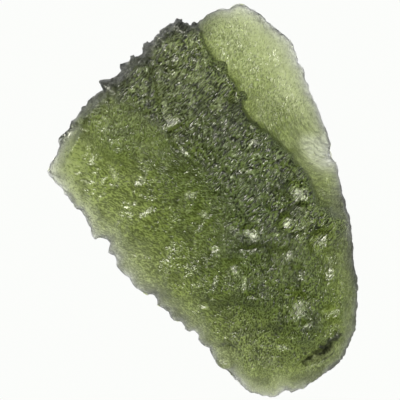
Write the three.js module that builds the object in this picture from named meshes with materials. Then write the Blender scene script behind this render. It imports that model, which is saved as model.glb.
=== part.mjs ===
// A moldavite: one flat piece of green natural glass, lying on its back with its broad face up.
// Millimetres, +Z up. X runs across the broad face and Y along its length.
// The face and the back are two skins of triangles that share the jagged rim between them.
import * as THREE from "three";

// Driving dimensions
const RIM_SPACING = 0.56; // longest stretch of rim between two corners
const RIM_WANDER = 0.035; // how far an added rim corner strays from the straight
const FACE_SPACING = 0.54; // between corners on the broad face
const BACK_SPACING = 0.9; // between corners on the back
const RIM_INSET = 0.3; // first row of corners inside the rim
const SCARP_WIDTH = 0.6; // how far the scarp's slope reaches, seen from above
const SCARP_END_WIDTH = 4.0; // the same at its lower end, where it dies out
const SCARP_WANDER = 0.3; // how far the scarp's edge strays from its line
const STEP_DROP = 0.55; // deepest drop beside the low step
const STEP_REACH = 2.4; // how quickly the ground past the low step climbs back
const CREASE_DEPTH = 2.2;
const CREASE_HALF_WIDTH = 0.5;
const SHELF_DROP = 1.1; // from the broad face down to the shelf at the lower end
const SHELF_WIDTH = 0.7;
const FLAT_SPOT = [[-0.4, 3.8], [2.0, -6.6], [7.4, 3.4]]; // corners of the spot that the stone rests on
const FLAT_SPOT_PROUD = 0.08; // how far the spot stands below the back around it
const BACK_RISE = 0.16; // how steeply the back starts to rise past the flat spot
const BACK_PITS = 60;
const FACE_PITS = 110;

// The rim, clockwise from the left corner as seen from above
const BROKEN_EDGE = [
  [-15.4, 2.9], [-15.0, 3.9], [-14.75, 4.3], [-14.45, 4.6], [-14.3, 5.1], [-14.1, 5.4],
  [-14.3, 5.9], [-13.8, 6.3], [-13.1, 7.2], [-12.9, 7.9], [-12.5, 8.3], [-12.0, 9.0],
  [-11.3, 9.8], [-10.9, 10.1], [-10.6, 10.3], [-10.0, 10.9], [-9.6, 11.2], [-9.1, 12.0],
  [-8.8, 12.2], [-8.1, 12.8], [-7.9, 13.5], [-7.4, 13.6], [-7.1, 14.0], [-7.0, 14.4],
  [-6.6, 14.5], [-6.2, 14.3], [-5.9, 14.5], [-5.8, 15.1], [-5.5, 15.4], [-5.3, 15.8],
  [-5.0, 15.8], [-4.3, 16.5], [-4.15, 16.7], [-3.7, 17.2], [-3.1, 17.4], [-2.8, 17.7],
  [-1.8, 18.1], [-1.6, 17.8], [-1.2, 17.8], [-1.0, 17.5],
];
const LEDGE_RIM = [
  [-0.45, 17.7], [-0.1, 17.9], [0.5, 18.5], [0.95, 18.8], [1.6, 19.1], [2.1, 19.3],
  [2.9, 19.3], [3.1, 19.5], [3.4, 19.7], [3.9, 19.85], [4.5, 19.75], [5.0, 19.3],
  [5.5, 19.1], [6.25, 18.6], [6.75, 18.0], [7.55, 17.4], [8.2, 16.85], [8.8, 16.45],
  [9.15, 16.1], [9.4, 15.6], [9.7, 14.9], [9.9, 14.3], [9.9, 13.85], [10.35, 13.4],
  [10.6, 12.8], [10.7, 11.95], [11.0, 11.4], [11.1, 10.85], [11.4, 10.35], [11.75, 9.6],
  [12.05, 8.95], [12.3, 8.05], [12.6, 7.35], [13.0, 6.5], [13.25, 5.5], [13.15, 5.05],
  [13.3, 4.65], [13.4, 4.1],
];
const RIGHT_SIDE = [
  [13.75, 3.9], [13.9, 3.25], [14.0, 2.6], [14.2, 1.65], [14.4, 0.75], [14.6, -0.05],
  [14.65, -0.65], [14.9, -1.3], [15.1, -1.9], [15.2, -2.85], [15.3, -4.1], [15.4, -5.4],
  [15.5, -6.5], [15.6, -7.3], [15.8, -8.75], [15.75, -9.2], [15.85, -10.3], [15.75, -11.2],
  [15.6, -12.05], [15.5, -12.95], [15.25, -13.85], [14.95, -14.6], [14.6, -15.1],
  [14.2, -15.95], [13.7, -16.55], [13.0, -17.15], [12.2, -17.75], [11.45, -18.25],
];
const LOWER_END = [
  [10.85, -18.65], [10.45, -19.0], [10.0, -19.05], [9.6, -19.2], [9.2, -19.45],
  [8.95, -19.25], [8.6, -19.1], [8.15, -19.4], [7.55, -19.75], [7.1, -19.9],
  [6.75, -19.7], [6.4, -19.75], [5.75, -19.55], [4.95, -19.4], [4.45, -18.95],
  [3.95, -18.5], [3.45, -18.1], [3.0, -17.65], [2.75, -17.2], [2.25, -16.95],
  [1.8, -16.65], [1.65, -16.25], [1.3, -15.95], [0.95, -15.25], [0.85, -14.9],
];
const SERRATED_EDGE = [
  [0.45, -14.7], [0.0, -14.45], [-0.25, -13.95], [-0.3, -13.55], [-0.6, -13.2],
  [-1.05, -13.3], [-1.6, -13.05], [-1.7, -12.7], [-1.85, -12.35], [-2.3, -12.3],
  [-2.7, -12.2], [-3.05, -11.75], [-3.2, -11.3], [-3.45, -11.2], [-3.8, -10.9],
  [-4.15, -10.8], [-4.45, -10.6], [-4.35, -10.0], [-4.55, -9.75], [-4.9, -9.5],
  [-5.3, -9.7], [-5.7, -9.45], [-6.1, -9.1], [-6.65, -8.75], [-6.9, -8.35],
  [-7.1, -7.85], [-7.35, -7.7], [-7.8, -7.35], [-8.25, -6.95], [-8.5, -6.55],
  [-8.45, -6.0], [-8.6, -5.6], [-8.95, -5.45], [-9.3, -5.3], [-9.2, -4.85],
  [-9.1, -4.35], [-9.35, -4.05], [-9.7, -3.9], [-10.05, -3.9], [-10.4, -4.05],
  [-10.65, -3.95], [-10.85, -3.65], [-11.05, -3.1], [-11.25, -2.55], [-11.45, -2.1],
  [-11.75, -1.55], [-12.1, -1.05], [-12.45, -0.95], [-12.75, -0.75], [-12.8, -0.45],
  [-13.05, -0.15], [-13.4, 0.35], [-13.7, 0.55], [-13.85, 1.0], [-14.35, 1.45],
  [-14.85, 2.0], [-15.25, 2.45],
];

// Lines on the broad face. The scarp drops from the face to the thin ledge on its left-hand side,
// followed from the top notch down to the right side, where it dies out.
const SCARP = [
  [-1.3, 18.2], [-0.3, 16.55], [0.1, 15.3], [0.9, 14.15], [1.6, 13.3], [2.3, 12.5],
  [3.0, 11.5], [3.8, 9.8], [4.1, 8.5], [4.7, 7.75], [5.5, 6.75], [6.4, 6.5],
  [7.15, 5.7], [8.3, 4.8], [9.2, 3.55], [9.95, 2.8], [10.55, 2.2], [10.9, 0.8],
  [11.6, -0.6], [13.0, -2.0], [16.6, -3.4],
];
// The low step runs from a notch in the broken edge to the middle of the face.
const STEP = [
  [-6.4, 15.0], [-5.2, 13.0], [-4.7, 11.9], [-4.4, 10.5], [-4.2, 9.0], [-3.7, 7.4],
  [-2.85, 5.95], [-2.2, 5.5], [-1.5, 4.9], [-0.7, 4.3], [-0.2, 3.8], [0.8, 3.2],
  [2.0, 2.4],
];
// A narrow hollow near the lower right corner
const CREASE = [[10.4, -16.1], [11.4, -15.5], [12.3, -15.1], [13.0, -14.6], [13.4, -13.9]];
// The edge of the shelf beside the lower end of the serrated edge
const SHELF = [
  [-0.6, -13.6], [0.9, -14.4], [2.2, -15.0], [3.3, -15.0], [4.0, -15.6], [4.3, -16.8],
  [4.9, -18.4], [5.3, -20.4],
];

// Heights of the broad face, the ledge, the rim and the back at a few places: [x, y, z]
const FACE_HEIGHTS = [
  [-15.2, 2.9, 3.0], [-12.0, 4.2, 4.4], [-11.5, 1.2, 4.2], [-10.2, -2.6, 4.0],
  [-8.2, -5.6, 3.9], [-5.4, -8.4, 3.8], [-2.2, -11.0, 3.8], [0.6, -13.8, 4.4],
  [-11.0, 8.8, 5.7], [-7.5, 12.2, 6.3], [-3.5, 15.6, 6.2], [-1.2, 16.6, 5.5],
  [-8.0, 6.0, 6.0], [-4.5, 3.0, 5.7], [-1.0, 8.5, 6.6], [1.0, 12.0, 6.3], [2.4, 6.2, 7.1],
  [-8.0, 1.0, 5.1], [-5.0, -2.5, 5.3], [0.0, -2.0, 5.7], [5.2, 0.2, 7.4], [6.8, 3.4, 6.9],
  [5.4, -4.6, 7.5], [9.5, -1.5, 6.6], [-1.6, -7.6, 5.2], [1.6, -7.6, 6.2], [5.5, -8.6, 7.4],
  [10.2, -7.2, 7.2], [14.0, -6.0, 5.1], [10.0, -12.5, 7.1], [13.8, -12.0, 5.8],
  [3.5, -12.6, 5.1], [6.5, -15.6, 4.8], [11.4, -16.2, 5.2], [7.0, -18.6, 4.0],
];
const LEDGE_HEIGHTS = [
  [0.2, 17.0, 4.4], [2.2, 18.4, 3.9], [4.0, 19.2, 3.0], [3.4, 15.0, 4.1], [6.2, 17.0, 3.3],
  [8.2, 14.6, 3.1], [5.2, 11.0, 4.3], [9.6, 11.4, 3.3], [7.2, 7.6, 4.7], [11.0, 8.4, 3.5],
  [9.8, 4.6, 3.9], [12.6, 6.2, 2.9], [12.6, 2.8, 3.4], [11.6, 0.6, 4.7], [14.0, 0.4, 4.0],
  [14.4, -2.0, 4.1],
];
const RIM_HEIGHTS = [
  [-15.4, 2.9, 1.6], [-12.0, 9.0, 2.7], [-6.0, 14.6, 3.0], [-1.2, 17.8, 2.6],
  [3.9, 19.8, 1.6], [9.4, 15.6, 1.6], [12.3, 8.0, 1.6], [13.4, 4.1, 1.4], [14.6, 0, 2.3],
  [15.4, -5.4, 2.7], [15.8, -10.3, 2.6], [14.2, -16.0, 2.3], [7.1, -19.9, 1.6],
  [1.6, -16.2, 1.7], [-1.6, -13.0, 1.6], [-6.0, -9.1, 1.6], [-9.3, -5.0, 1.7],
  [-12.8, -0.5, 1.6],
];
const BEVELS = [ // how far in the face reaches its full height: [x, y, width]
  [-15.4, 2.9, 1.7], [-13.0, 7.5, 0.9], [-7.5, 13.6, 1.0], [-2.0, 17.8, 0.9],
  [3.9, 19.8, 1.8], [9.6, 15.2, 1.8], [12.4, 8.0, 1.4], [13.5, 4.0, 0.9], [14.6, 0, 1.5],
  [15.4, -5.4, 1.6], [15.8, -10.3, 1.8], [14.4, -15.5, 1.9], [10.5, -19.0, 1.8],
  [5.5, -19.6, 1.8], [0.4, -14.7, 1.7], [-3.4, -11.2, 1.9], [-8.5, -6.5, 1.9],
  [-12.8, -0.5, 1.9],
];
const BACK_HEIGHTS = [
  [-15.0, 2.9, 1.3], [-11.0, 9.5, 1.5], [-4.5, 16.0, 1.6], [4.0, 19.0, 1.3], [9.0, 14.5, 1.3],
  [12.0, 7.5, 1.3], [13.4, 3.5, 1.0], [14.6, -2.0, 1.1], [15.2, -10.0, 1.0],
  [11.5, -17.0, 1.1], [6.0, -19.0, 1.0], [0.6, -14.2, 1.1], [-6.0, -8.6, 1.1],
  [-11.5, -1.4, 1.2], [-8.0, 4.0, 0.8], [-2.0, 11.0, 0.7], [5.0, 11.0, 0.8],
];

// Hollows that give the broad face its relief: [x, y, radius, depth]
const HOLLOWS = [
  [8.5, -2.4, 1.0, 0.42], [4.8, -3.2, 1.1, 0.4], [1.4, -4.8, 0.9, 0.3], [9.7, -10.3, 1.25, 0.5],
  [12.2, -4.4, 1.3, 0.4], [11.4, -6.9, 1.1, 0.38], [6.4, -8.4, 1.2, 0.4], [12.7, -11.8, 1.1, 0.4],
  [7.5, -5.4, 1.0, 0.36], [3.0, -6.6, 1.1, 0.34], [8.9, -13.0, 1.0, 0.32], [4.2, -10.6, 1.2, 0.34],
  [13.3, -8.6, 0.9, 0.32], [6.8, 0.2, 1.0, 0.3], [8.9, 1.4, 0.9, 0.32], [4.4, 2.6, 1.0, 0.26],
  [-9.0, 3.4, 1.3, 0.3], [-8.1, 2.2, 1.2, 0.3], [-5.6, 6.2, 1.4, 0.22], [-2.2, -0.6, 1.5, 0.2],
  [1.2, 9.2, 1.6, 0.24], [-0.4, 13.2, 1.2, 0.24], [-3.2, 12.4, 1.1, 0.3], [-8.9, 10.4, 0.9, 0.4],
  [-4.2, 14.9, 0.9, 0.4], [-11.6, 7.4, 0.9, 0.3], [7.7, -17.4, 1.5, 0.3], [-6.2, -5.4, 1.6, 0.2],
];
// Larger bites out of the face, longer one way: [x, y, half length, half width, turn, depth]
const CHIP = { x: 11.7, y: 4.7, halfLength: 2.9, halfWidth: 1.7, turn: -0.7, depth: 2.1 };
const FLAKE = { x: -13.4, y: 6.3, halfLength: 1.7, halfWidth: 1.1, turn: 0.85, depth: 2.0 };

const mix = (a, b, share) => a + (b - a) * share;

function smoothstep(from, to, value) {
  const t = Math.min(Math.max((value - from) / (to - from), 0), 1);
  return t * t * (3 - 2 * t);
}

// A repeatable number from 0 to 1 for two whole numbers
function chance(i, j) {
  const wave = Math.sin(i * 127.1 + j * 311.7) * 43758.5453;
  return wave - Math.floor(wave);
}

// Smooth noise from -1 to 1 whose lumps are one unit apart
function noise(x, y) {
  const i = Math.floor(x);
  const j = Math.floor(y);
  const u = smoothstep(0, 1, x - i);
  const v = smoothstep(0, 1, y - j);
  const low = mix(chance(i, j), chance(i + 1, j), u);
  const high = mix(chance(i, j + 1), chance(i + 1, j + 1), u);
  return 2 * mix(low, high, v) - 1;
}

// Lumps of two sizes, in millimetres of height
function lumps(x, y, seed) {
  const broad = 0.2 * noise(x / 3.4 + seed, y / 3.4);
  const fine = 0.11 * noise(x / 1.35, y / 1.35 + seed);
  return broad + fine;
}

// The value at a place, blended from the nearest of a few known ones
function blended(known, x, y) {
  const softness = 2.2;
  let sum = 0;
  let weights = 0;
  for (const [kx, ky, value] of known) {
    const weight = ((x - kx) ** 2 + (y - ky) ** 2 + softness) ** -1.7;
    sum += weight * value;
    weights += weight;
  }
  return sum / weights;
}

// The nearest point on a line of several stretches: how far it is, on which side, and how far along
function nearest(line, x, y) {
  let best = { away: Infinity, side: 1, along: 0 };
  let travelled = 0;
  for (let i = 0; i + 1 < line.length; i++) {
    const [ax, ay] = line[i];
    const dx = line[i + 1][0] - ax;
    const dy = line[i + 1][1] - ay;
    const length = Math.hypot(dx, dy);
    const share = Math.min(Math.max(((x - ax) * dx + (y - ay) * dy) / length ** 2, 0), 1);
    const away = Math.hypot(x - ax - share * dx, y - ay - share * dy);
    if (away < best.away) {
      const side = Math.sign(dx * (y - ay) - dy * (x - ax)) || 1;
      best = { away, side, along: travelled + share * length };
    }
    travelled += length;
  }
  return best;
}

const lengthOf = (line) =>
  line.slice(1).reduce((sum, p, i) => sum + Math.hypot(p[0] - line[i][0], p[1] - line[i][1]), 0);

// How deep a place lies in an oval hollow: 1 in its middle and 0 at its edge
function inHollow(hollow, x, y) {
  const cos = Math.cos(hollow.turn);
  const sin = Math.sin(hollow.turn);
  const u = ((x - hollow.x) * cos + (y - hollow.y) * sin) / hollow.halfLength;
  const v = ((y - hollow.y) * cos - (x - hollow.x) * sin) / hollow.halfWidth;
  return Math.max(1 - u * u - v * v, 0);
}

// Small pits scattered over a skin, each with a place, a radius and a depth
function scatteredPits(count, seed) {
  return Array.from({ length: count }, (_, i) => {
    const radius = 0.6 + 0.75 * chance(i, seed + 2);
    return {
      x: mix(-15, 15.5, chance(i, seed)),
      y: mix(-19, 19, chance(i, seed + 1)),
      halfLength: radius * (1 + 0.5 * chance(i, seed + 3)),
      halfWidth: radius,
      turn: Math.PI * chance(i, seed + 4),
      depth: mix(0.1, 0.26, chance(i, seed + 5)),
    };
  });
}
const facePits = scatteredPits(FACE_PITS, 11);
const backPits = scatteredPits(BACK_PITS, 47);
const pitted = (pits, x, y) =>
  pits.reduce((depth, pit) => Math.max(depth, pit.depth * inHollow(pit, x, y) ** 1.5), 0);

function stepDrop(x, y) {
  const { away, side, along } = nearest(STEP, x, y);
  if (side < 0) return 0;
  const strength = smoothstep(0, 4, along) * (1 - smoothstep(0.7, 1, along / lengthOf(STEP)));
  return STEP_DROP * mix(0.55, 1, strength) * smoothstep(0, 0.4, away) *
    Math.exp(-away / STEP_REACH) * (1 - smoothstep(0.85, 1, along / lengthOf(STEP)));
}

function creaseDrop(x, y) {
  const { away, along } = nearest(CREASE, x, y);
  const share = along / lengthOf(CREASE);
  const open = Math.sqrt(Math.max(1 - (2 * share - 1) ** 4, 0.15));
  return CREASE_DEPTH * open * (1 - smoothstep(0, CREASE_HALF_WIDTH, away));
}

function shelfDrop(x, y) {
  const { away, side } = nearest(SHELF, x, y);
  return side < 0 ? SHELF_DROP * smoothstep(0, SHELF_WIDTH, away) : 0;
}

// The broad face's height where the rim is far away
function openFace(x, y) {
  let main = blended(FACE_HEIGHTS, x, y) - stepDrop(x, y) - shelfDrop(x, y) - creaseDrop(x, y);
  for (const [hx, hy, radius, depth] of HOLLOWS) {
    const hollow = { x: hx, y: hy, halfLength: radius, halfWidth: radius, turn: 0 };
    main -= depth * inHollow(hollow, x, y) ** 1.5;
  }
  const { away, side, along } = nearest(SCARP, x, y);
  const dyingOut = smoothstep(0.78, 0.95, along / lengthOf(SCARP));
  const wander = SCARP_WANDER * noise(x / 0.9 + 7, y / 0.9);
  const past = smoothstep(0, mix(SCARP_WIDTH, SCARP_END_WIDTH, dyingOut), side * away + wander);
  let z = mix(main, blended(LEDGE_HEIGHTS, x, y), past);
  z += lumps(x, y, 3) * mix(1, 0.55, past) - pitted(facePits, x, y) * mix(1, 0.45, past);
  z -= CHIP.depth * inHollow(CHIP, x, y) ** 0.8;
  z -= FLAKE.depth * inHollow(FLAKE, x, y) ** 0.7;
  return z;
}

const rimHeight = (x, y) => blended(RIM_HEIGHTS, x, y) + 0.15 * noise(x / 1.2 + 40, y / 1.2);

// From 0 at the rim to 1 at the bevel's inner edge, slightly rounded over
function bevelled(fromRim, width) {
  const t = Math.min(fromRim / width, 1);
  return mix(t, Math.sqrt(t * (2 - t)), 0.4);
}

function faceHeight(x, y, fromRim) {
  const rim = rimHeight(x, y);
  const height = Math.max(openFace(x, y) - rim, 0.35);
  return rim + height * bevelled(fromRim, blended(BEVELS, x, y));
}

// How far a place is outside the flat spot that the stone rests on
function pastFlatSpot(x, y) {
  return isInside(FLAT_SPOT, x, y) ? 0 : nearest([...FLAT_SPOT, FLAT_SPOT[0]], x, y).away;
}

function backHeight(x, y, fromRim) {
  const past = pastFlatSpot(x, y);
  if (past < 1e-6) return 0;
  const rim = rimHeight(x, y);
  const open = Math.min(blended(BACK_HEIGHTS, x, y), BACK_RISE * past);
  const relief = 1.2 * lumps(x, y, 20) + 1.6 * pitted(backPits, x, y);
  const z = Math.max(open + relief * smoothstep(0, 2.5, past), FLAT_SPOT_PROUD);
  return rim - Math.max(rim - z, 0.35) * bevelled(fromRim, 0.9 * blended(BEVELS, x, y));
}

// The rim's corners: the outline, with one or more corners added on its longer stretches
function rimCorners(outline) {
  const corners = [];
  outline.forEach(([ax, ay], i) => {
    const [bx, by] = outline[(i + 1) % outline.length];
    const length = Math.hypot(bx - ax, by - ay);
    const pieces = Math.ceil(length / RIM_SPACING);
    for (let k = 0; k < pieces; k++) {
      const stray = k === 0 ? 0 : RIM_WANDER * (2 * chance(i, k) - 1);
      const x = mix(ax, bx, k / pieces) - (stray * (by - ay)) / length;
      const y = mix(ay, by, k / pieces) + (stray * (bx - ax)) / length;
      corners.push([x, y]);
    }
  });
  return corners;
}

function isInside(loop, x, y) {
  let inside = false;
  for (let i = 0, j = loop.length - 1; i < loop.length; j = i++) {
    const [ax, ay] = loop[i];
    const [bx, by] = loop[j];
    if (ay > y !== by > y && x < ax + ((bx - ax) * (y - ay)) / (by - ay)) inside = !inside;
  }
  return inside;
}

// Points every so far along a line, moved sideways by an offset
function rowAlong(line, spacing, offset) {
  const row = [];
  for (let i = 0; i + 1 < line.length; i++) {
    const [ax, ay] = line[i];
    const [bx, by] = line[i + 1];
    const length = Math.hypot(bx - ax, by - ay);
    const pieces = Math.max(Math.round(length / spacing), 1);
    for (let k = 0; k < pieces; k++) {
      const x = mix(ax, bx, k / pieces) - (offset * (by - ay)) / length;
      const y = mix(ay, by, k / pieces) + (offset * (bx - ax)) / length;
      row.push([x, y]);
    }
  }
  return row;
}

// A slightly uneven grid of points in staggered rows
function staggeredGrid(spacing, seed) {
  const points = [];
  const rise = spacing * Math.sqrt(0.75);
  for (let row = 0; row * rise < 42; row++) {
    for (let k = 0; k * spacing < 34; k++) {
      const x = (k + (row % 2) / 2) * spacing - 17 + 0.3 * spacing * (chance(k, row + seed) - 0.5);
      const y = row * rise - 21 + 0.3 * spacing * (chance(row, k + seed) - 0.5);
      points.push([x, y]);
    }
  }
  return points;
}

// One skin's corners inside the rim. Each wanted point is kept if it has room.
function skinCorners(rim, wanted, spacing) {
  const closed = [...rim, rim[0]];
  const kept = [];
  for (const { points, room } of wanted) {
    for (const [x, y] of points) {
      if (!isInside(rim, x, y)) continue;
      const fromRim = nearest(closed, x, y).away;
      if (fromRim < 0.75 * Math.min(RIM_INSET, room)) continue;
      const gap = room * spacing;
      if (fromRim > RIM_INSET * 1.05 && fromRim < RIM_INSET + 0.5 * gap) continue;
      if (kept.some((p) => Math.hypot(p.x - x, p.y - y) < gap)) continue;
      kept.push({ x, y, fromRim });
    }
  }
  return kept;
}

// Delaunay triangles of points in the plane, made by adding the points one at a time
function triangulate(points) {
  const far = 1e5;
  const count = points.length;
  const all = [...points, [-far, -far], [far, -far], [0, far]];
  const circled = (a, b, c) => {
    const [ax, ay] = all[a];
    const bx = all[b][0] - ax;
    const by = all[b][1] - ay;
    const cx = all[c][0] - ax;
    const cy = all[c][1] - ay;
    const twice = 2 * (bx * cy - by * cx);
    const x = (cy * (bx * bx + by * by) - by * (cx * cx + cy * cy)) / twice;
    const y = (bx * (cx * cx + cy * cy) - cx * (bx * bx + by * by)) / twice;
    return { corners: [a, b, c], x: ax + x, y: ay + y, reach: x * x + y * y };
  };
  let triangles = [circled(count, count + 1, count + 2)];
  points.forEach(([px, py], i) => {
    const edges = new Map();
    triangles = triangles.filter((t) => {
      if ((px - t.x) ** 2 + (py - t.y) ** 2 >= t.reach) return true;
      const [a, b, c] = t.corners;
      for (const [from, to] of [[a, b], [b, c], [c, a]]) {
        if (!edges.delete(`${to} ${from}`)) edges.set(`${from} ${to}`, [from, to]);
      }
      return false;
    });
    for (const [from, to] of edges.values()) triangles.push(circled(from, to, i));
  });
  return triangles.map((t) => t.corners).filter((t) => Math.max(...t) < count);
}

// The triangles of one skin, counter-clockwise from above, as corner numbers: rim first, then inside
function skinTriangles(rim, corners) {
  const points = [...rim, ...corners.map((c) => [c.x, c.y])];
  return triangulate(points).filter(([a, b, c]) => {
    const x = (points[a][0] + points[b][0] + points[c][0]) / 3;
    const y = (points[a][1] + points[b][1] + points[c][1]) / 3;
    return isInside(rim, x, y);
  });
}

function moldavite() {
  const outline = [BROKEN_EDGE, LEDGE_RIM, RIGHT_SIDE, LOWER_END, SERRATED_EDGE].flat().reverse();
  const rim = rimCorners(outline);
  const inset = rowAlong([...rim, rim[0]], RIM_SPACING, RIM_INSET);
  const lines = [
    ...rowAlong(SCARP, 0.5, 0.05), ...rowAlong(SCARP, 0.55, SCARP_WIDTH * 0.9),
    ...rowAlong(STEP, 0.5, 0), ...rowAlong(STEP, 0.5, 0.4),
    ...rowAlong(CREASE, 0.42, 0), ...rowAlong(CREASE, 0.5, 0.4), ...rowAlong(CREASE, 0.5, -0.4),
    ...rowAlong(SHELF, 0.55, 0), ...rowAlong(SHELF, 0.55, -SHELF_WIDTH),
  ];
  const faceCorners = skinCorners(rim, [
    { points: inset, room: 0.5 },
    { points: lines, room: 0.55 },
    { points: staggeredGrid(FACE_SPACING, 5), room: 0.7 },
  ], FACE_SPACING);
  const backCorners = skinCorners(rim, [
    { points: FLAT_SPOT, room: 0.3 },
    { points: inset, room: 0.3 },
    { points: staggeredGrid(BACK_SPACING, 9), room: 0.6 },
  ], BACK_SPACING);

  const positions = [
    ...rim.map(([x, y]) => [x, y, rimHeight(x, y)]),
    ...faceCorners.map((c) => [c.x, c.y, faceHeight(c.x, c.y, c.fromRim)]),
    ...backCorners.map((c) => [c.x, c.y, backHeight(c.x, c.y, c.fromRim)]),
  ];
  const shared = rim.length;
  const toBack = (corner) => (corner < shared ? corner : corner + faceCorners.length);
  const index = [
    ...skinTriangles(rim, faceCorners).flat(),
    ...skinTriangles(rim, backCorners).flatMap(([a, b, c]) => [toBack(a), toBack(c), toBack(b)]),
  ];

  const geometry = new THREE.BufferGeometry();
  geometry.setAttribute("position", new THREE.Float32BufferAttribute(positions.flat(), 3));
  geometry.setIndex(index);
  geometry.computeVertexNormals();
  geometry.computeBoundingBox();
  return geometry;
}

// Clear bottle-green glass
const glass = new THREE.MeshStandardMaterial({
  color: new THREE.Color(0.3, 0.37, 0.14),
  roughness: 0.25,
  metalness: 0,
});

const geometry = moldavite();
const stone = new THREE.Mesh(geometry, glass);
stone.name = "moldavite";

// The frame's origin lies under the middle of the stone, on the surface that it rests on.
const { min, max } = geometry.boundingBox;
stone.position.set(-(min.x + max.x) / 2, -(min.y + max.y) / 2, -min.z);

const part = new THREE.Group();
part.add(stone);
export default part;
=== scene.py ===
# The looks of the moldavite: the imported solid's surface with its finest relief carved in, made of
# clear green glass, lying on a light table. Metres, +Z up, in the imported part's frame. The stone's
# surface is worked out in millimetres.
import math

import bpy
import numpy as np
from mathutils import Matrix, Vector


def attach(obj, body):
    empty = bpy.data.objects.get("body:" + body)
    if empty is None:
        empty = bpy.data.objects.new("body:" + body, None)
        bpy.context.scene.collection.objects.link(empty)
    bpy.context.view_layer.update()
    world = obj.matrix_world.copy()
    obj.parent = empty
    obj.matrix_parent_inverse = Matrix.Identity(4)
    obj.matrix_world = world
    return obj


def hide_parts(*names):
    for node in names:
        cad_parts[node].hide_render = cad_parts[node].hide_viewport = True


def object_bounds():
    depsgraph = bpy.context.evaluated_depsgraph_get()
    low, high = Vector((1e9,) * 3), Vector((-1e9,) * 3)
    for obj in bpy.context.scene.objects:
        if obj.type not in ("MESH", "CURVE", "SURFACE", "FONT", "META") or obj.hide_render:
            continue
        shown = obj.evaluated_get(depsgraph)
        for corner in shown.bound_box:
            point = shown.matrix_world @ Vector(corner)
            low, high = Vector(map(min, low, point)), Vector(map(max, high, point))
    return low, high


MM = 0.001

# The glass
ROUGHNESS = 0.28
IOR = 1.49
TAKEN = (277, 220, 580)  # red, green and blue light that it absorbs, per metre

# The finest etching: the bump's distance in millimetres, and the grooves' depth as a share of it
BUMP = 0.36
GROOVE = 0.1

# Its patterns: degrees that a grain is turned, its length and its width in millimetres
STREAK_GRAIN = (48, 0.75, 0.21)
RIPPLE_GRAIN = (-28, 0.5, 0.21)
SPECK_GRAIN = (70, 0.42, 0.21)
ARC_GRAIN = (1.3, 0.27)  # these run round the chip's centre instead of along a direction
ARC_RADIUS = 6  # how far from the centre, in millimetres, their grains have that length

# The carved relief's heights and depths, in millimetres
STREAK_HEIGHT = 0.15
RIPPLE_HEIGHT = 0.14
GRAIN_HEIGHT = 0.13
LUMP_HEIGHT = 0.1
SWELL_HEIGHT = 0.17
SHARD_HEIGHT = 0.36
ROW_HEIGHT = 0.07
RIDGE_HEIGHT = 0.04
VALLEY_DEPTH = 0.12
PIT_DEPTH = 0.08
SUNK = 0.14  # the whole skin lies this much deeper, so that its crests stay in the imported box

# The mesh, in millimetres
SPLITS = 2  # each split makes four triangles of one
WELD_DIGITS = 4  # corners that are the same to this many digits are one corner
LOOP_SHARE = 0.375  # how far Loop's rule moves a corner towards its neighbours
LOOP_KEPT = 0.6  # and how much of that is done, so that the lumps stay crisp
FLAT_SPOT = 1e-4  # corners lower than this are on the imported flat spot, and no split moves them
RIM_BAND = 2.0  # how far in from the rim its distance is worked out
RIM_EDGE = 1  # room for half of an edge's length
RIM_STAYS = 0.4  # how far in from the rim the scarp isn't drawn together
ON_TABLE = 1e-3  # corners lower than this after the splits stay where they are, on the table
LOWEST = 0.01  # no other corner gets lower than this
SCARP_MIDDLE = 0.3  # where the scarp's slope is drawn to
SCARP_WIDTH = 0.45
SCARP_PULL = 0.75

# Lines on the broad face, in millimetres. Past the scarp lies the thin ledge. Between the scarp and
# the low step the etched grooves are the deepest. The crease is the narrow hollow near the lower
# right corner, darkened with painted shade.
SCARP = [
    (-1.5, 18.2), (-0.5, 16.6), (-0.1, 15.3), (0.7, 14.2), (1.4, 13.3), (2.1, 12.5), (2.8, 11.5),
    (3.6, 9.8), (3.9, 8.5), (4.5, 7.8), (5.3, 6.8), (6.2, 6.5), (6.9, 5.7), (8.1, 4.8), (9.0, 3.6),
    (9.7, 2.8), (10.3, 2.2), (10.7, 0.8), (11.4, -0.6), (12.8, -2.0), (16.4, -3.4),
]
STEP = [
    (-6.6, 15.0), (-5.4, 13.0), (-4.9, 11.9), (-4.6, 10.5), (-4.4, 9.0), (-3.9, 7.4), (-3.1, 6.0),
    (-2.4, 5.5), (-1.7, 4.9), (-0.9, 4.3), (-0.4, 3.8), (0.8, 2.6), (2.2, 0.4), (3.2, -3.0),
]
CREASE = [(10.1, -16.05), (11.2, -15.2), (12.2, -14.6), (13.0, -13.75), (13.2, -13.35)]

# The chip on the right, its middle and the centre of its curved ridges
CHIP = (11.5, 4.7)
CHIP_RADIUS = 2
RIDGE_CENTRE = (14, 10)
RIDGE_WIDTH = 0.48

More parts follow.
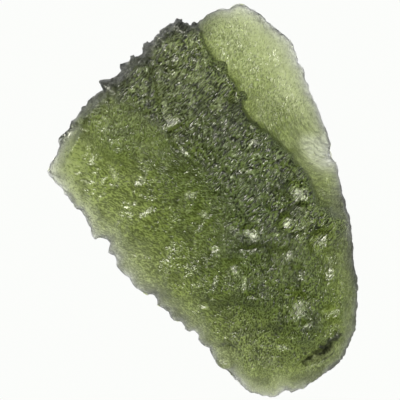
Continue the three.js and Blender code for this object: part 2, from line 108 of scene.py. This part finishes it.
# Small facets that lean towards the upper left and catch the light there. Those with a slope of
# 0.1 only level out places that would catch it otherwise.
# x, y, half length, half width, degrees that the length is turned, slope
FACETS = [
    (9.4, 0.5, 1.3, 0.9, -30, 0.48), (8.3, -2.3, 0.8, 0.8, 0, 0.48),
    (4.7, -3.3, 1.0, 0.6, -20, 0.46), (8.4, -5.3, 0.7, 0.6, 60, 0.46),
    (11.6, -4.1, 1.1, 1.0, 0, 0.48), (12.5, -7.2, 0.6, 1.2, 0, 0.5),
    (3.1, -6.7, 0.8, 0.4, 90, 0.4), (1.3, -7.8, 0.9, 0.5, 90, 0.38),
    (4.0, -8.4, 0.9, 0.35, 90, 0.4), (4.8, -9.6, 0.7, 0.45, -20, 0.4),
    (9.4, -10.5, 0.8, 1.3, 0, 0.5), (12.8, -11.1, 0.9, 0.7, 0, 0.52),
    (2.5, -15.5, 1.0, 1.1, 0, 0.44), (10.2, -12.3, 0.5, 0.4, 0, 0.5),
    (0.2, -10.5, 0.5, 0.5, 0, 0.35), (7.9, -14.5, 0.9, 0.6, 0, 0.42),
    (1.7, 13.1, 0.8, 0.5, -50, 0.45), (3.3, 10.1, 0.8, 0.7, 0, 0.4),
    (5.0, 5.6, 0.6, 0.5, 0, 0.42), (4.9, 7.1, 0.5, 0.4, 0, 0.42),
    (-3.0, 7.6, 1.2, 0.6, 30, 0.28), (-7.1, 2.2, 1.3, 0.8, 0, 0.1),
    (-6.3, -0.9, 1.2, 0.7, 0, 0.1), (-1.9, 4.9, 1.3, 0.35, -42, 0.45),
    (-8.8, 2.6, 2.0, 0.5, -58, 0.2), (-13.5, 6.8, 1.1, 0.8, 45, 0.42),
    (-9.2, 11.0, 0.9, 0.5, -62, 0.5), (-2.1, 16.8, 0.8, 0.6, 0, 0.45),
    (-4.0, 15.4, 0.8, 0.35, -70, 0.5), (-1.1, 0.5, 1.0, 0.6, 0, 0.36),
    (0.3, -1.4, 0.9, 0.35, -40, 0.4), (-0.4, -2.8, 0.7, 0.4, 60, 0.4),
    (1.2, -4.8, 0.6, 0.5, 0, 0.38),
]
TO_LAMP = (-0.73, 0.68)  # towards the key light, seen from above

# Smooth deep hollows, free of glints and darkened with painted shade: x, y, half length, half width,
# degrees, darkness
VALLEYS = [
    (8.6, -0.8, 1.3, 0.45, 15, 0.5), (8.9, -3.5, 1.3, 0.4, 10, 0.4),
    (7.6, 1.6, 0.9, 0.35, 80, 0.4), (5.2, -4.6, 2.2, 0.4, 5, 0.45),
    (9.4, -7.6, 1.5, 0.45, 85, 0.45), (5.6, -8.6, 1.4, 0.5, 80, 0.35),
    (2.6, -9.8, 0.9, 0.5, 30, 0.3), (11.4, -11.6, 1.2, 0.4, 70, 0.4),
    (7.0, -12.6, 1.8, 0.5, 0, 0.35), (-1.4, 2.6, 1.8, 0.5, -20, 0.3),
    (6.6, -6.4, 1.0, 0.35, 60, 0.4), (-3.0, 13.6, 1.2, 0.35, 70, 0.4),
    (-5.2, 10.4, 1.6, 0.4, 75, 0.35), (2.6, 2.6, 1.6, 0.4, -35, 0.35),
    (-7.0, 2.2, 1.8, 0.35, -50, 0.25), (2.8, -15.0, 0.9, 0.22, -15, 0.5),
    (1.7, -14.4, 0.8, 0.16, 10, 0.45), (-13.8, 6.3, 0.5, 0.16, 60, 0.48),
    (-13.1, 7.1, 0.5, 0.16, 30, 0.48), (12.4, -7.2, 0.8, 0.3, 90, 0.35),
    (0.6, -5.6, 1.0, 0.3, 40, 0.3),
]

# The light table, in millimetres, and the camera's place above it
TABLE_HALF_SIDE = 4000
TABLE_GAP = 0.02  # between the stone and the table, so that their faces aren't in one plane
TABLE_COLOUR = (0.97, 0.98, 0.96, 1)
CAMERA_PLACE = (-0.225, 0.025, 169)

FAR = 1e9

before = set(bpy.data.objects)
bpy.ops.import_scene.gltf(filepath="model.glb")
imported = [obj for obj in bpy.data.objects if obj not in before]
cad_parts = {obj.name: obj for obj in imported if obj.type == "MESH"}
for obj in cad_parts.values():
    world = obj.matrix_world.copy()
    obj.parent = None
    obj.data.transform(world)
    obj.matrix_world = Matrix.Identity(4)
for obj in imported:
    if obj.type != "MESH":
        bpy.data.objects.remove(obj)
cad_low, cad_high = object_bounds()
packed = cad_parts["moldavite"]


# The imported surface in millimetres, its corners joined where triangles meet
def welded(mesh):
    mesh.calc_loop_triangles()
    places = np.zeros(len(mesh.vertices) * 3)
    mesh.vertices.foreach_get("co", places)
    corners = np.zeros(len(mesh.loop_triangles) * 3, int)
    mesh.loop_triangles.foreach_get("vertices", corners)
    places = places.reshape(-1, 3) / MM
    rounded = np.round(places, WELD_DIGITS)
    _, first, joined = np.unique(rounded, axis=0, return_index=True, return_inverse=True)
    triangles = joined.reshape(-1)[corners].reshape(-1, 3)
    whole = (triangles != np.roll(triangles, 1, axis=1)).all(axis=1)
    return places[first], triangles[whole]


def face_normals(points, triangles):
    a, b, c = (points[triangles[:, k]] for k in range(3))
    return np.cross(b - a, c - a)


def normals(points, triangles):
    by_face = face_normals(points, triangles)
    summed = np.zeros_like(points)
    for k in range(3):
        np.add.at(summed, triangles[:, k], by_face)
    return summed / np.maximum(np.linalg.norm(summed, axis=1, keepdims=True), 1e-12)


# Every triangle's edges: the first edges of all triangles, then the second, then the third
def edges_of(triangles):
    return np.concatenate([triangles[:, [0, 1]], triangles[:, [1, 2]], triangles[:, [2, 0]]])


# Splits every triangle in four. New corners follow Loop's rule, so facets turn into smooth lumps,
# but the rim, where the face meets the back, keeps its angles.
def split(points, triangles):
    count = len(points)
    facing_up = face_normals(points, triangles)[:, 2] > 0
    edges = edges_of(triangles)
    opposite = np.concatenate([triangles[:, 2], triangles[:, 0], triangles[:, 1]])
    up = np.tile(facing_up, 3)
    ends, which = np.unique(np.sort(edges, axis=1), axis=0, return_inverse=True)
    which = which.reshape(-1)
    uses = np.bincount(which, minlength=len(ends))
    ups = np.bincount(which, weights=up, minlength=len(ends))
    on_rim = (uses != 2) | (ups == 1)
    sides = np.zeros((len(ends), 3))
    np.add.at(sides, which, points[opposite])
    middle = points[ends].mean(axis=1)
    smooth = 0.75 * middle + 0.125 * sides
    new = np.where(on_rim[:, None], middle, smooth)

    around = np.zeros_like(points)
    np.add.at(around, ends[:, 0], points[ends[:, 1]])
    np.add.at(around, ends[:, 1], points[ends[:, 0]])
    neighbours = np.bincount(ends.reshape(-1), minlength=count)
    share = LOOP_SHARE / neighbours * LOOP_KEPT
    moved = points * (1 - neighbours * share)[:, None] + around * share[:, None]
    fixed = np.zeros(count, bool)
    fixed[ends[on_rim].reshape(-1)] = True
    fixed |= points[:, 2] < FLAT_SPOT
    kept = np.where(fixed[:, None], points, moved)

    ab, bc, ca = (which[k * len(triangles):(k + 1) * len(triangles)] + count for k in range(3))
    a, b, c = triangles.T
    fine = np.concatenate([
        np.stack([a, ab, ca], axis=1), np.stack([b, bc, ab], axis=1),
        np.stack([c, ca, bc], axis=1), np.stack([ab, bc, ca], axis=1),
    ])
    return np.concatenate([kept, new]), fine


# A repeatable number from 0 to 1 for each lattice place
def chance(i, j, k, seed):
    mixed = (i * 73856093) ^ (j * 19349663) ^ (k * 83492791) ^ (seed * 26544357)
    mixed = mixed & 0xFFFFFFFF
    mixed = ((mixed ^ (mixed >> 15)) * 2246822519) & 0xFFFFFFFF
    mixed = ((mixed ^ (mixed >> 13)) * 3266489917) & 0xFFFFFFFF
    return ((mixed ^ (mixed >> 16)) & 0xFFFFFF) / 0xFFFFFF


# Smooth noise from -1 to 1 with lumps one unit apart
def noise(points, seed):
    low = np.floor(points).astype(np.int64)
    t = points - low
    t = t * t * (3 - 2 * t)
    total = np.zeros(len(points))
    for corner in range(8):
        d = np.array([corner & 1, (corner >> 1) & 1, corner >> 2])
        weight = np.prod(np.where(d == 1, t, 1 - t), axis=1)
        total += weight * chance(*(low + d).T, seed)
    return 2 * total - 1


# Three noises side by side, by which a pattern is bent
def warp(points, seed):
    return np.stack([noise(points, seed + s) for s in range(3)], axis=1)


# How far each place is from the nearest of scattered seeds, one to a cell
def cells(points, seed):
    low = np.floor(points).astype(np.int64)
    best = np.full(len(points), FAR)
    for dx in (-1, 0, 1):
        for dy in (-1, 0, 1):
            for dz in (-1, 0, 1):
                i, j, k = (low + (dx, dy, dz)).T
                place = np.stack([chance(i, j, k, seed + s) for s in range(3)], axis=1)
                away = np.linalg.norm(low + (dx, dy, dz) + place - points, axis=1)
                best = np.minimum(best, away)
    return best


def smoothstep(low, high, value):
    t = np.clip((value - low) / (high - low), 0, 1)
    return t * t * (3 - 2 * t)


# How far each place is from a line of several stretches; less than 0 on its right-hand side
def across(line, points):
    best = np.full(len(points), FAR)
    signed = np.zeros(len(points))
    for (ax, ay), (bx, by) in zip(line, line[1:]):
        dx, dy = bx - ax, by - ay
        x, y = points[:, 0] - ax, points[:, 1] - ay
        share = np.clip((x * dx + y * dy) / (dx * dx + dy * dy), 0, 1)
        away = np.hypot(x - share * dx, y - share * dy)
        side = np.where(dx * y - dy * x < 0, -1, 1)
        nearer = away < best
        signed[nearer] = (side * away)[nearer]
        best = np.minimum(best, away)
    return signed


# Draws the scarp's slope together, so that its edge is crisp
def crisp_scarp(points, out):
    away = across(SCARP, points)
    nudge = 0.02
    east, north = np.array([nudge, 0, 0]), np.array([0, nudge, 0])
    dx = across(SCARP, points + east) - across(SCARP, points - east)
    dy = across(SCARP, points + north) - across(SCARP, points - north)
    offset = (away - SCARP_MIDDLE) / SCARP_WIDTH
    shift = -SCARP_PULL * SCARP_WIDTH * offset * np.exp(-offset * offset)
    shift *= smoothstep(-0.5, 1.5, points[:, 1]) * (out[:, 2] > 0)
    moved = points.copy()
    moved[:, 0] += shift * dx / (2 * nudge)
    moved[:, 1] += shift * dy / (2 * nudge)
    return moved


# Coordinates turned so that the first runs along a direction, then shrunk by a length each way
def along(points, degrees, length, width):
    turn = math.radians(degrees)
    u = points[:, 0] * math.cos(turn) + points[:, 1] * math.sin(turn)
    v = points[:, 1] * math.cos(turn) - points[:, 0] * math.sin(turn)
    return np.stack([u / length, v / width, points[:, 2] / width], axis=1)


# How far each place is from the rim, seen from above, for places near it
def inside_rim(points, triangles):
    facing_up = face_normals(points, triangles)[:, 2] > 0
    edges = np.sort(edges_of(triangles), axis=1)
    ends, which = np.unique(edges, axis=0, return_inverse=True)
    ups = np.bincount(which.reshape(-1), weights=np.tile(facing_up, 3), minlength=len(ends))
    rim = ends[ups == 1]
    best = np.full(len(points), FAR)
    for a, b in points[rim][:, :, :2]:
        near = np.abs(points[:, :2] - (a + b) / 2).max(axis=1) < RIM_BAND + RIM_EDGE
        x, y = (points[near, :2] - a).T
        dx, dy = b - a
        share = np.clip((x * dx + y * dy) / max(dx * dx + dy * dy, 1e-9), 0, 1)
        best[near] = np.minimum(best[near], np.hypot(x - share * dx, y - share * dy))
    return best


# The stone's zones, each from 0 to 1 at every place, apart from the rows along the rim and the
# facets' moves
def zones(points, out, from_rim):
    x, y = points[:, 0], points[:, 1]
    face = smoothstep(-0.1, 0.3, out[:, 2])
    scarp = across(SCARP, points)
    step = across(STEP, points)
    lower = smoothstep(-2, -6, y)
    right = smoothstep(1, 4, x)

    # The ledge fades where the scarp runs out into the right side.
    ledge = smoothstep(0.4, 0.75, scarp) * face * (0.35 + 0.65 * smoothstep(-1.5, 2.5, y))

    # Streaks lie between the step and the scarp, grains in the lower right, and ripples on the rest
    # of the broad face. The ripples are calm in its lower left part.
    reach = step + 3.5 * smoothstep(6, 12, y) + 0.8 * noise(points / 1.2, seed=99)
    streaked = smoothstep(-1.5, 0.6, reach) * (1 - ledge) * face * (1 - lower)
    grained = right * lower * (1 - ledge) * face
    rippled = np.clip((1 - ledge) * face - streaked - grained, 0, 1)
    calm = rippled * smoothstep(-2, -6, x + 0.6 * y)
    below_step = (
        smoothstep(0, 0.25, step) * np.exp(-np.maximum(step, 0) / 1.3)
        * streaked * smoothstep(4, 6, y)
    )

    # The broken edge on the upper left, and the rows that run along the rim on the right
    ragged = from_rim + 0.5 * noise(points / 0.9, seed=83)
    broken = (1 - smoothstep(0.7, 1.7, ragged)) * smoothstep(7.5, 9, y) * (1 - ledge)
    broken *= smoothstep(1.0, 0.0, x)
    band = (
        (1 - smoothstep(1.0, 1.6, from_rim)) * smoothstep(9, 11, x)
        * smoothstep(1.5, -0.5, y) * face
    )
    rows = np.cos(2 * math.pi * (from_rim / 0.4 + 0.3 * noise(points / 1.5, seed=95)))

    # The chip, and the ledge beside it that has the same curved ridges
    chip = np.exp(-((np.hypot(x - CHIP[0], y - CHIP[1]) / CHIP_RADIUS) ** 4)) * ledge
    fanned = np.maximum(chip, 0.6 * ledge * smoothstep(10, 7.5, y) * smoothstep(3, 5, x))

    # The crease has ragged sides, is wider on the right and is broken up by grains.
    wander = 0.35 * noise(points / 0.4, seed=71)
    half_width = 0.15 + 0.55 * smoothstep(10.4, 12, x)
    from_crease = (np.abs(across(CREASE, points)) + wander) / half_width
    crease = 1 - smoothstep(0.2, 1.1, from_crease)
    crease *= smoothstep(-0.9, -0.2, noise(along(points, 35, 0.9, 0.2), seed=73))

    facet_move, facet = facets(points, face)
    return {
        "ledge": ledge, "streaked": streaked, "grained": grained, "rippled": rippled,
        "broken": broken, "crease": crease * face, "back": 1 - face, "band": band,
        "fanned": fanned, "valley": valleys(points) * face, "facet_move": facet_move,
        "facet": facet, "calm": calm, "rows": rows, "below_step": below_step,
    }


# How deep each place lies in a valley, from 0 to 1
def valleys(points):
    bent = points + 0.3 * warp(points / 0.8, seed=91)
    deepest = np.zeros(len(points))
    for x, y, half_length, half_width, degrees, darkness in VALLEYS:
        u, v, _ = along(bent - (x, y, 0), degrees, half_length, half_width).T
        deepest = np.maximum(deepest, 2 * darkness * np.exp(-(u * u + v * v) ** 1.5))
    return deepest


# How far the broad face moves where facets are cut into it, and how far each place belongs to one,
# from 0 to 1
def facets(points, face):
    moved = np.zeros(len(points))
    flat = np.zeros(len(points))
    for x, y, half_length, half_width, degrees, slope in FACETS:
        u, v, _ = along(points - (x, y, 0), degrees, half_length, half_width).T
        share = np.exp(-(u * u + v * v) ** 2) * face
        level = np.average(points[:, 2], weights=share)
        uphill = -(points[:, 0] - x) * TO_LAMP[0] - (points[:, 1] - y) * TO_LAMP[1]
        moved += share * (level + slope * uphill - points[:, 2] - moved)
        flat = np.maximum(flat, share)
    return moved, flat


# How far each place of the skin is moved outwards
def fine_relief(points, zone):
    bent = points + 0.35 * warp(points / 1.6, seed=21)
    streaks = 1 - np.abs(noise(along(bent, 50, 1.0, 0.36), seed=3))
    ripples = 1 - np.abs(noise(along(bent, -28, 0.9, 0.4), seed=5))
    lumps = 1 - np.abs(noise(bent / 0.45, seed=9))
    grains = np.clip(1 - (cells(bent / 0.45, seed=51) / 0.75) ** 2, 0, 1)
    shards = np.abs(noise(bent / 0.8, seed=61)) + 0.5 * np.abs(noise(bent / 0.35, seed=63))
    pits = np.clip(1 - (cells(bent / 0.9, seed=7) / 0.5) ** 2, 0, 1)
    swell = noise(bent / 1.1, seed=17)
    plain = np.clip(1 - zone["streaked"] - zone["rippled"], 0, 1)

    height = STREAK_HEIGHT * streaks * zone["streaked"] + RIPPLE_HEIGHT * ripples * zone["rippled"]
    height += GRAIN_HEIGHT * grains * zone["grained"]
    height += LUMP_HEIGHT * lumps * (plain - zone["grained"])
    height += (
        SWELL_HEIGHT * swell * (1 - zone["ledge"]) * (1 - zone["back"]) * (1 - 0.85 * zone["calm"])
    )
    height += zone["facet_move"] + height * -0.75 * zone["facet"]
    height += SHARD_HEIGHT * (shards - 0.5) * zone["broken"]
    height += ROW_HEIGHT * zone["rows"] * zone["band"] - VALLEY_DEPTH * zone["valley"]
    height += RIDGE_HEIGHT * ridges(points) * zone["fanned"]
    return height - PIT_DEPTH * pits * (1 - 0.5 * zone["ledge"]) * (1 - zone["facet"]) - SUNK


# The chip's curved ridges, from -1 to 1
def ridges(points):
    radius = np.hypot(points[:, 0] - RIDGE_CENTRE[0], points[:, 1] - RIDGE_CENTRE[1])
    return np.cos(2 * math.pi * (radius / RIDGE_WIDTH + 0.9 * noise(points / 1.1, seed=97)))


# Painted shade: what is left of the colour's light in the dark rough places, with random darker
# patches
def painted_shade_and_mottling(points, zone):
    y = points[:, 1]
    mottled = 0.5 + 0.5 * noise(points / 0.5, seed=31)
    between_rows = smoothstep(0.3, -0.5, zone["rows"])
    between_ridges = smoothstep(0.1, 0.8, -ridges(points))
    patches = noise(points / 1.3, seed=37) + 0.6 * noise(points / 0.6, seed=39)
    painted_glints = smoothstep(0.2, 0.6, noise(points / 0.25, seed=33))

    # Painted shade: the broken edge on the upper left is darkened, mottled at random
    left = 1 - zone["broken"] * (0.35 + 0.45 * mottled)
    # Painted shade in the valleys and between the rows along the right rim
    left *= (1 - 0.5 * zone["valley"]) * (1 - zone["band"] * between_rows * 0.4 * mottled)
    # Painted shade beside the low step and on the upper part of the streaked face
    left *= (1 - 0.3 * zone["below_step"]) * (1 - 0.2 * zone["streaked"] * smoothstep(4, 8, y))
    # Painted shade between the chip's curved ridges
    left *= 1 - zone["fanned"] * 0.5 * between_ridges * smoothstep(0.3, 0.6, mottled)
    # Random darker patches on the broad face, off the ledge
    left *= 1 - 0.3 * smoothstep(0.1, 0.7, patches) * (1 - zone["ledge"]) * (1 - zone["back"])
    # Painted shade in the crease, broken up by lighter painted glints
    return left * (1 - zone["crease"] * (0.97 - 0.3 * painted_glints))


# Painted shade: what is left of the colour's light in the grooves. It is less where the glass is
# thick.
def painted_groove_shade(points, zone):
    x, y, z = points.T
    return (
        np.exp(-0.2 * np.maximum(z - 1, 0)) * (1 - 0.8 * zone["streaked"])
        * (1 - 0.33 * zone["rippled"] * (1 - 0.5 * smoothstep(2, 6, y)))
        * (1 - 0.1 * zone["ledge"])
        * (1 - 0.55 * zone["grained"] * smoothstep(-18.5, -14, y) * smoothstep(14, 10, x))
    )


# The stone's corners and triangles, in millimetres, and its zones
def stone_surface():
    points, triangles = welded(packed.data)
    for _ in range(SPLITS):
        points, triangles = split(points, triangles)
    resting = points[:, 2] < ON_TABLE
    out = normals(points, triangles)
    from_rim = inside_rim(points, triangles)
    zone = zones(points, out, from_rim)
    points = np.where(from_rim[:, None] > RIM_STAYS, crisp_scarp(points, out), points)
    points = points + out * np.where(resting, 0, fine_relief(points, zone))[:, None]
    points[~resting, 2] = np.maximum(points[~resting, 2], LOWEST)
    low, high = (np.array(v) / MM for v in (cad_low, cad_high))
    return np.clip(points, low, high), triangles, zone


def mesh_object(name, points, triangles):
    mesh = bpy.data.meshes.new(name)
    mesh.from_pydata((points * MM).tolist(), [], triangles.tolist())
    mesh.shade_smooth()
    obj = bpy.data.objects.new(name, mesh)
    bpy.context.scene.collection.objects.link(obj)
    return obj


def keep_on_corners(obj, name, values):
    layer = obj.data.attributes.new(name, "FLOAT", "POINT")
    layer.data.foreach_set("value", values.astype(np.float32))


# What the material reads at every corner: how much of each etched pattern there is, how sharp the
# etching is, and the painted shade in its colour
def keep_looks(stone, points, zone):
    x, y = points[:, 0], points[:, 1]
    upper_left = zone["rippled"] * smoothstep(2, 6, y) * smoothstep(-13, -10, x)
    off_left_corner = 0.4 + 0.6 * smoothstep(-13, -8, x)
    ripples = 1.2 * zone["rippled"] * off_left_corner * (1 - 0.85 * upper_left)
    on_ledge = (
        zone["ledge"] * (0.8 + 0.4 * smoothstep(14, 9, y))
        * (1 - 0.55 * smoothstep(11, 16, x + 0.6 * y)) * (1 - 0.9 * zone["fanned"])
    )
    sharp = (
        (1.15 - 0.6 * zone["calm"] + 0.25 * zone["rippled"] * smoothstep(2, 6, y))
        * (1 - 0.6 * zone["facet"]) * (1 - 0.7 * zone["valley"])
        * (1 + zone["crease"]) * (1 - 0.2 * zone["fanned"])
    )
    sharp *= 1 - 0.45 * smoothstep(-3, -7, x) * smoothstep(5, 2, y)

    keep_on_corners(stone, "streaks", zone["streaked"])
    keep_on_corners(stone, "ripples", ripples)
    keep_on_corners(stone, "arcs", 0.8 * zone["fanned"])
    specks = on_ledge + zone["grained"] + 0.6 * zone["back"] + 0.9 * upper_left
    keep_on_corners(stone, "specks", specks)
    keep_on_corners(stone, "sharp", sharp)
    keep_on_corners(stone, "painted_shade_and_mottling", painted_shade_and_mottling(points, zone))
    keep_on_corners(stone, "painted_groove_shade", painted_groove_shade(points, zone))


class Shader:
    def __init__(self, tree):
        self.nodes = tree.nodes
        self.links = tree.links

    def node(self, kind, inputs=None, **settings):
        made = self.nodes.new(kind)
        for key, value in settings.items():
            setattr(made, key, value)
        for key, value in (inputs or {}).items():
            if isinstance(value, bpy.types.NodeSocket):
                self.links.new(value, made.inputs[key])
            else:
                made.inputs[key].default_value = value
        return made

    def math(self, operation, a, b):
        return self.node("ShaderNodeMath", {0: a, 1: b}, operation=operation).outputs[0]

    # A value that keep_on_corners stored
    def kept(self, name):
        return self.node("ShaderNodeAttribute", attribute_name=name).outputs["Fac"]

    # Coordinates turned so that the first runs along a direction, then shrunk by a length each way
    def along(self, place, degrees, length, width):
        turned = self.node(
            "ShaderNodeVectorRotate", {"Vector": place, "Angle": math.radians(-degrees)},
            rotation_type="Z_AXIS",
        ).outputs[0]
        return self.node(
            "ShaderNodeMapping",
            {"Vector": turned, "Scale": (1 / (length * MM), 1 / (width * MM), 1 / (width * MM))},
        ).outputs[0]

    # Coordinates along and across arcs round a centre, shrunk by a length each way
    def round_centre(self, place, centre, length, width):
        middle = (centre[0] * MM, centre[1] * MM, 0)
        away = self.node("ShaderNodeVectorMath", {0: place, 1: middle}, operation="SUBTRACT")
        x, y, _ = self.node("ShaderNodeSeparateXYZ", {0: away.outputs[0]}).outputs
        squares = self.math("ADD", self.math("MULTIPLY", x, x), self.math("MULTIPLY", y, y))
        radius = self.math("SQRT", squares, 0)
        turn = self.math("ARCTAN2", y, x)
        return self.node("ShaderNodeCombineXYZ", {
            0: self.math("MULTIPLY", turn, ARC_RADIUS / length),
            1: self.math("MULTIPLY", radius, 1 / (width * MM)),
        }).outputs[0]

    # Stretched grains, from 0 in the grooves to 1 on the crests
    def grains(self, place):
        pattern = self.node(
            "ShaderNodeTexNoise",
            {"Vector": place, "Scale": 1, "Detail": 1.0, "Roughness": 0.5, "Distortion": 0.3},
        ).outputs[0]
        steepness = 10
        ridged = self.math("ABSOLUTE", self.math("SUBTRACT", pattern, 0.5), 0)
        return self.math("SUBTRACT", 1, self.math("MULTIPLY", ridged, steepness))


def material(name):
    made = bpy.data.materials.new(name)
    made.use_nodes = True
    return made, Shader(made.node_tree)


def glass():
    made, shader = material("moldavite_glass")
    surface = shader.nodes["Principled BSDF"]
    surface.inputs["Roughness"].default_value = ROUGHNESS
    surface.inputs["IOR"].default_value = IOR
    surface.inputs["Transmission Weight"].default_value = 1

    # The glass takes most of the blue light, less of the red and least of the green.
    density = max(TAKEN)
    volume = shader.node("ShaderNodeVolumeAbsorption", {
        "Color": (*(1 - t / density for t in TAKEN), 1), "Density": density,
    })
    output = shader.nodes["Material Output"]
    shader.links.new(volume.outputs["Volume"], output.inputs["Volume"])

    # The finest etching
    place = shader.node("ShaderNodeTexCoord").outputs["Object"]
    patterns = {
        "streaks": shader.grains(shader.along(place, *STREAK_GRAIN)),
        "ripples": shader.grains(shader.along(place, *RIPPLE_GRAIN)),
        "specks": shader.grains(shader.along(place, *SPECK_GRAIN)),
        "arcs": shader.grains(shader.round_centre(place, RIDGE_CENTRE, *ARC_GRAIN)),
    }
    height = 0.0
    for name, pattern in patterns.items():
        amount = shader.kept(name)
        depth = shader.math("MULTIPLY", shader.math("SUBTRACT", 1, pattern), GROOVE)
        height = shader.math("SUBTRACT", height, shader.math("MULTIPLY", depth, amount))
    bump = shader.node("ShaderNodeBump", {
        "Height": height, "Strength": shader.kept("sharp"), "Distance": BUMP * MM,
    })
    shader.links.new(bump.outputs["Normal"], surface.inputs["Normal"])

    # Painted shade: the colour is darker in the grooves
    painted_groove_darkening = shader.node("ShaderNodeMapRange", {
        "Value": height, "From Min": -GROOVE, "From Max": 0.0,
        "To Min": shader.kept("painted_groove_shade"), "To Max": 1.0,
    }).outputs[0]

    # The colour holds the painted shade, some random darker patches and the crease's painted glints.
    # The renderer takes the root of a clear surface's colour, so it is squared here.
    left = shader.math("POWER", shader.math("MULTIPLY", painted_groove_darkening, shader.kept("painted_shade_and_mottling")), 2)
    tint = shader.node("ShaderNodeCombineColor", {0: left, 1: left, 2: left}).outputs[0]
    shader.links.new(tint, surface.inputs["Base Color"])
    return made


def light_table():
    side = TABLE_HALF_SIDE
    corners = np.array([(-side, -side, 0), (side, -side, 0), (side, side, 0), (-side, side, 0)])
    halves = np.array([(0, 1, 2), (0, 2, 3)])
    floor = mesh_object("floor", corners - (0, 0, TABLE_GAP), halves)
    made, shader = material("light_table")
    shine = shader.node("ShaderNodeEmission", {"Color": TABLE_COLOUR})
    output = shader.nodes["Material Output"]
    shader.links.new(shine.outputs["Emission"], output.inputs["Surface"])
    shader.nodes.remove(shader.nodes["Principled BSDF"])
    floor.data.materials.append(made)


# A square lamp that shines at the frame's origin, its place and size in metres. Its radiance stays
# the same at any size.
def softbox(name, place, size, radiance, colour):
    data = bpy.data.lights.new(name, "AREA")
    data.size = size
    data.energy = radiance * math.pi * size * size
    data.color = colour
    lamp = bpy.data.objects.new(name, data)
    lamp.location = place
    lamp.rotation_euler = (-Vector(place)).to_track_quat("-Z", "Y").to_euler()
    bpy.context.scene.collection.objects.link(lamp)


# Straight above the stone, as in the photograph
def camera():
    data = bpy.data.cameras.new("camera")
    data.lens = 150
    data.sensor_width = 36
    data.clip_start, data.clip_end = 0.01, 10
    cam = bpy.data.objects.new("camera", data)
    cam.location = [v * MM for v in CAMERA_PLACE]
    bpy.context.scene.collection.objects.link(cam)
    bpy.context.scene.camera = cam


# The room's light: bright near the horizon and dim overhead
def room():
    scene = bpy.context.scene
    scene.world = bpy.data.worlds.new("room")
    scene.world.use_nodes = True
    shader = Shader(scene.world.node_tree)
    place = shader.node("ShaderNodeTexCoord").outputs["Generated"]
    up = shader.node("ShaderNodeSeparateXYZ", {0: place}).outputs["Z"]
    wall = shader.node("ShaderNodeMapRange", {
        "Value": up, "From Min": 0.1, "From Max": 0.55, "To Min": 0.85, "To Max": 0.05,
    }).outputs[0]
    shader.links.new(wall, shader.nodes["Background"].inputs["Color"])
    scene.view_settings.view_transform = "Standard"


points, triangles, zone = stone_surface()
stone = mesh_object("stone", points, triangles)
keep_looks(stone, points, zone)
stone.data.materials.append(glass())
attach(stone, "root")
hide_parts("moldavite")

light_table()
softbox("upper_left", (-0.28, 0.26, 0.34), size=0.2, radiance=42, colour=(1.0, 1.0, 0.84))
softbox("right", (0.40, -0.05, 0.30), size=0.2, radiance=7, colour=(1.0, 1.0, 1.0))
camera()
room()
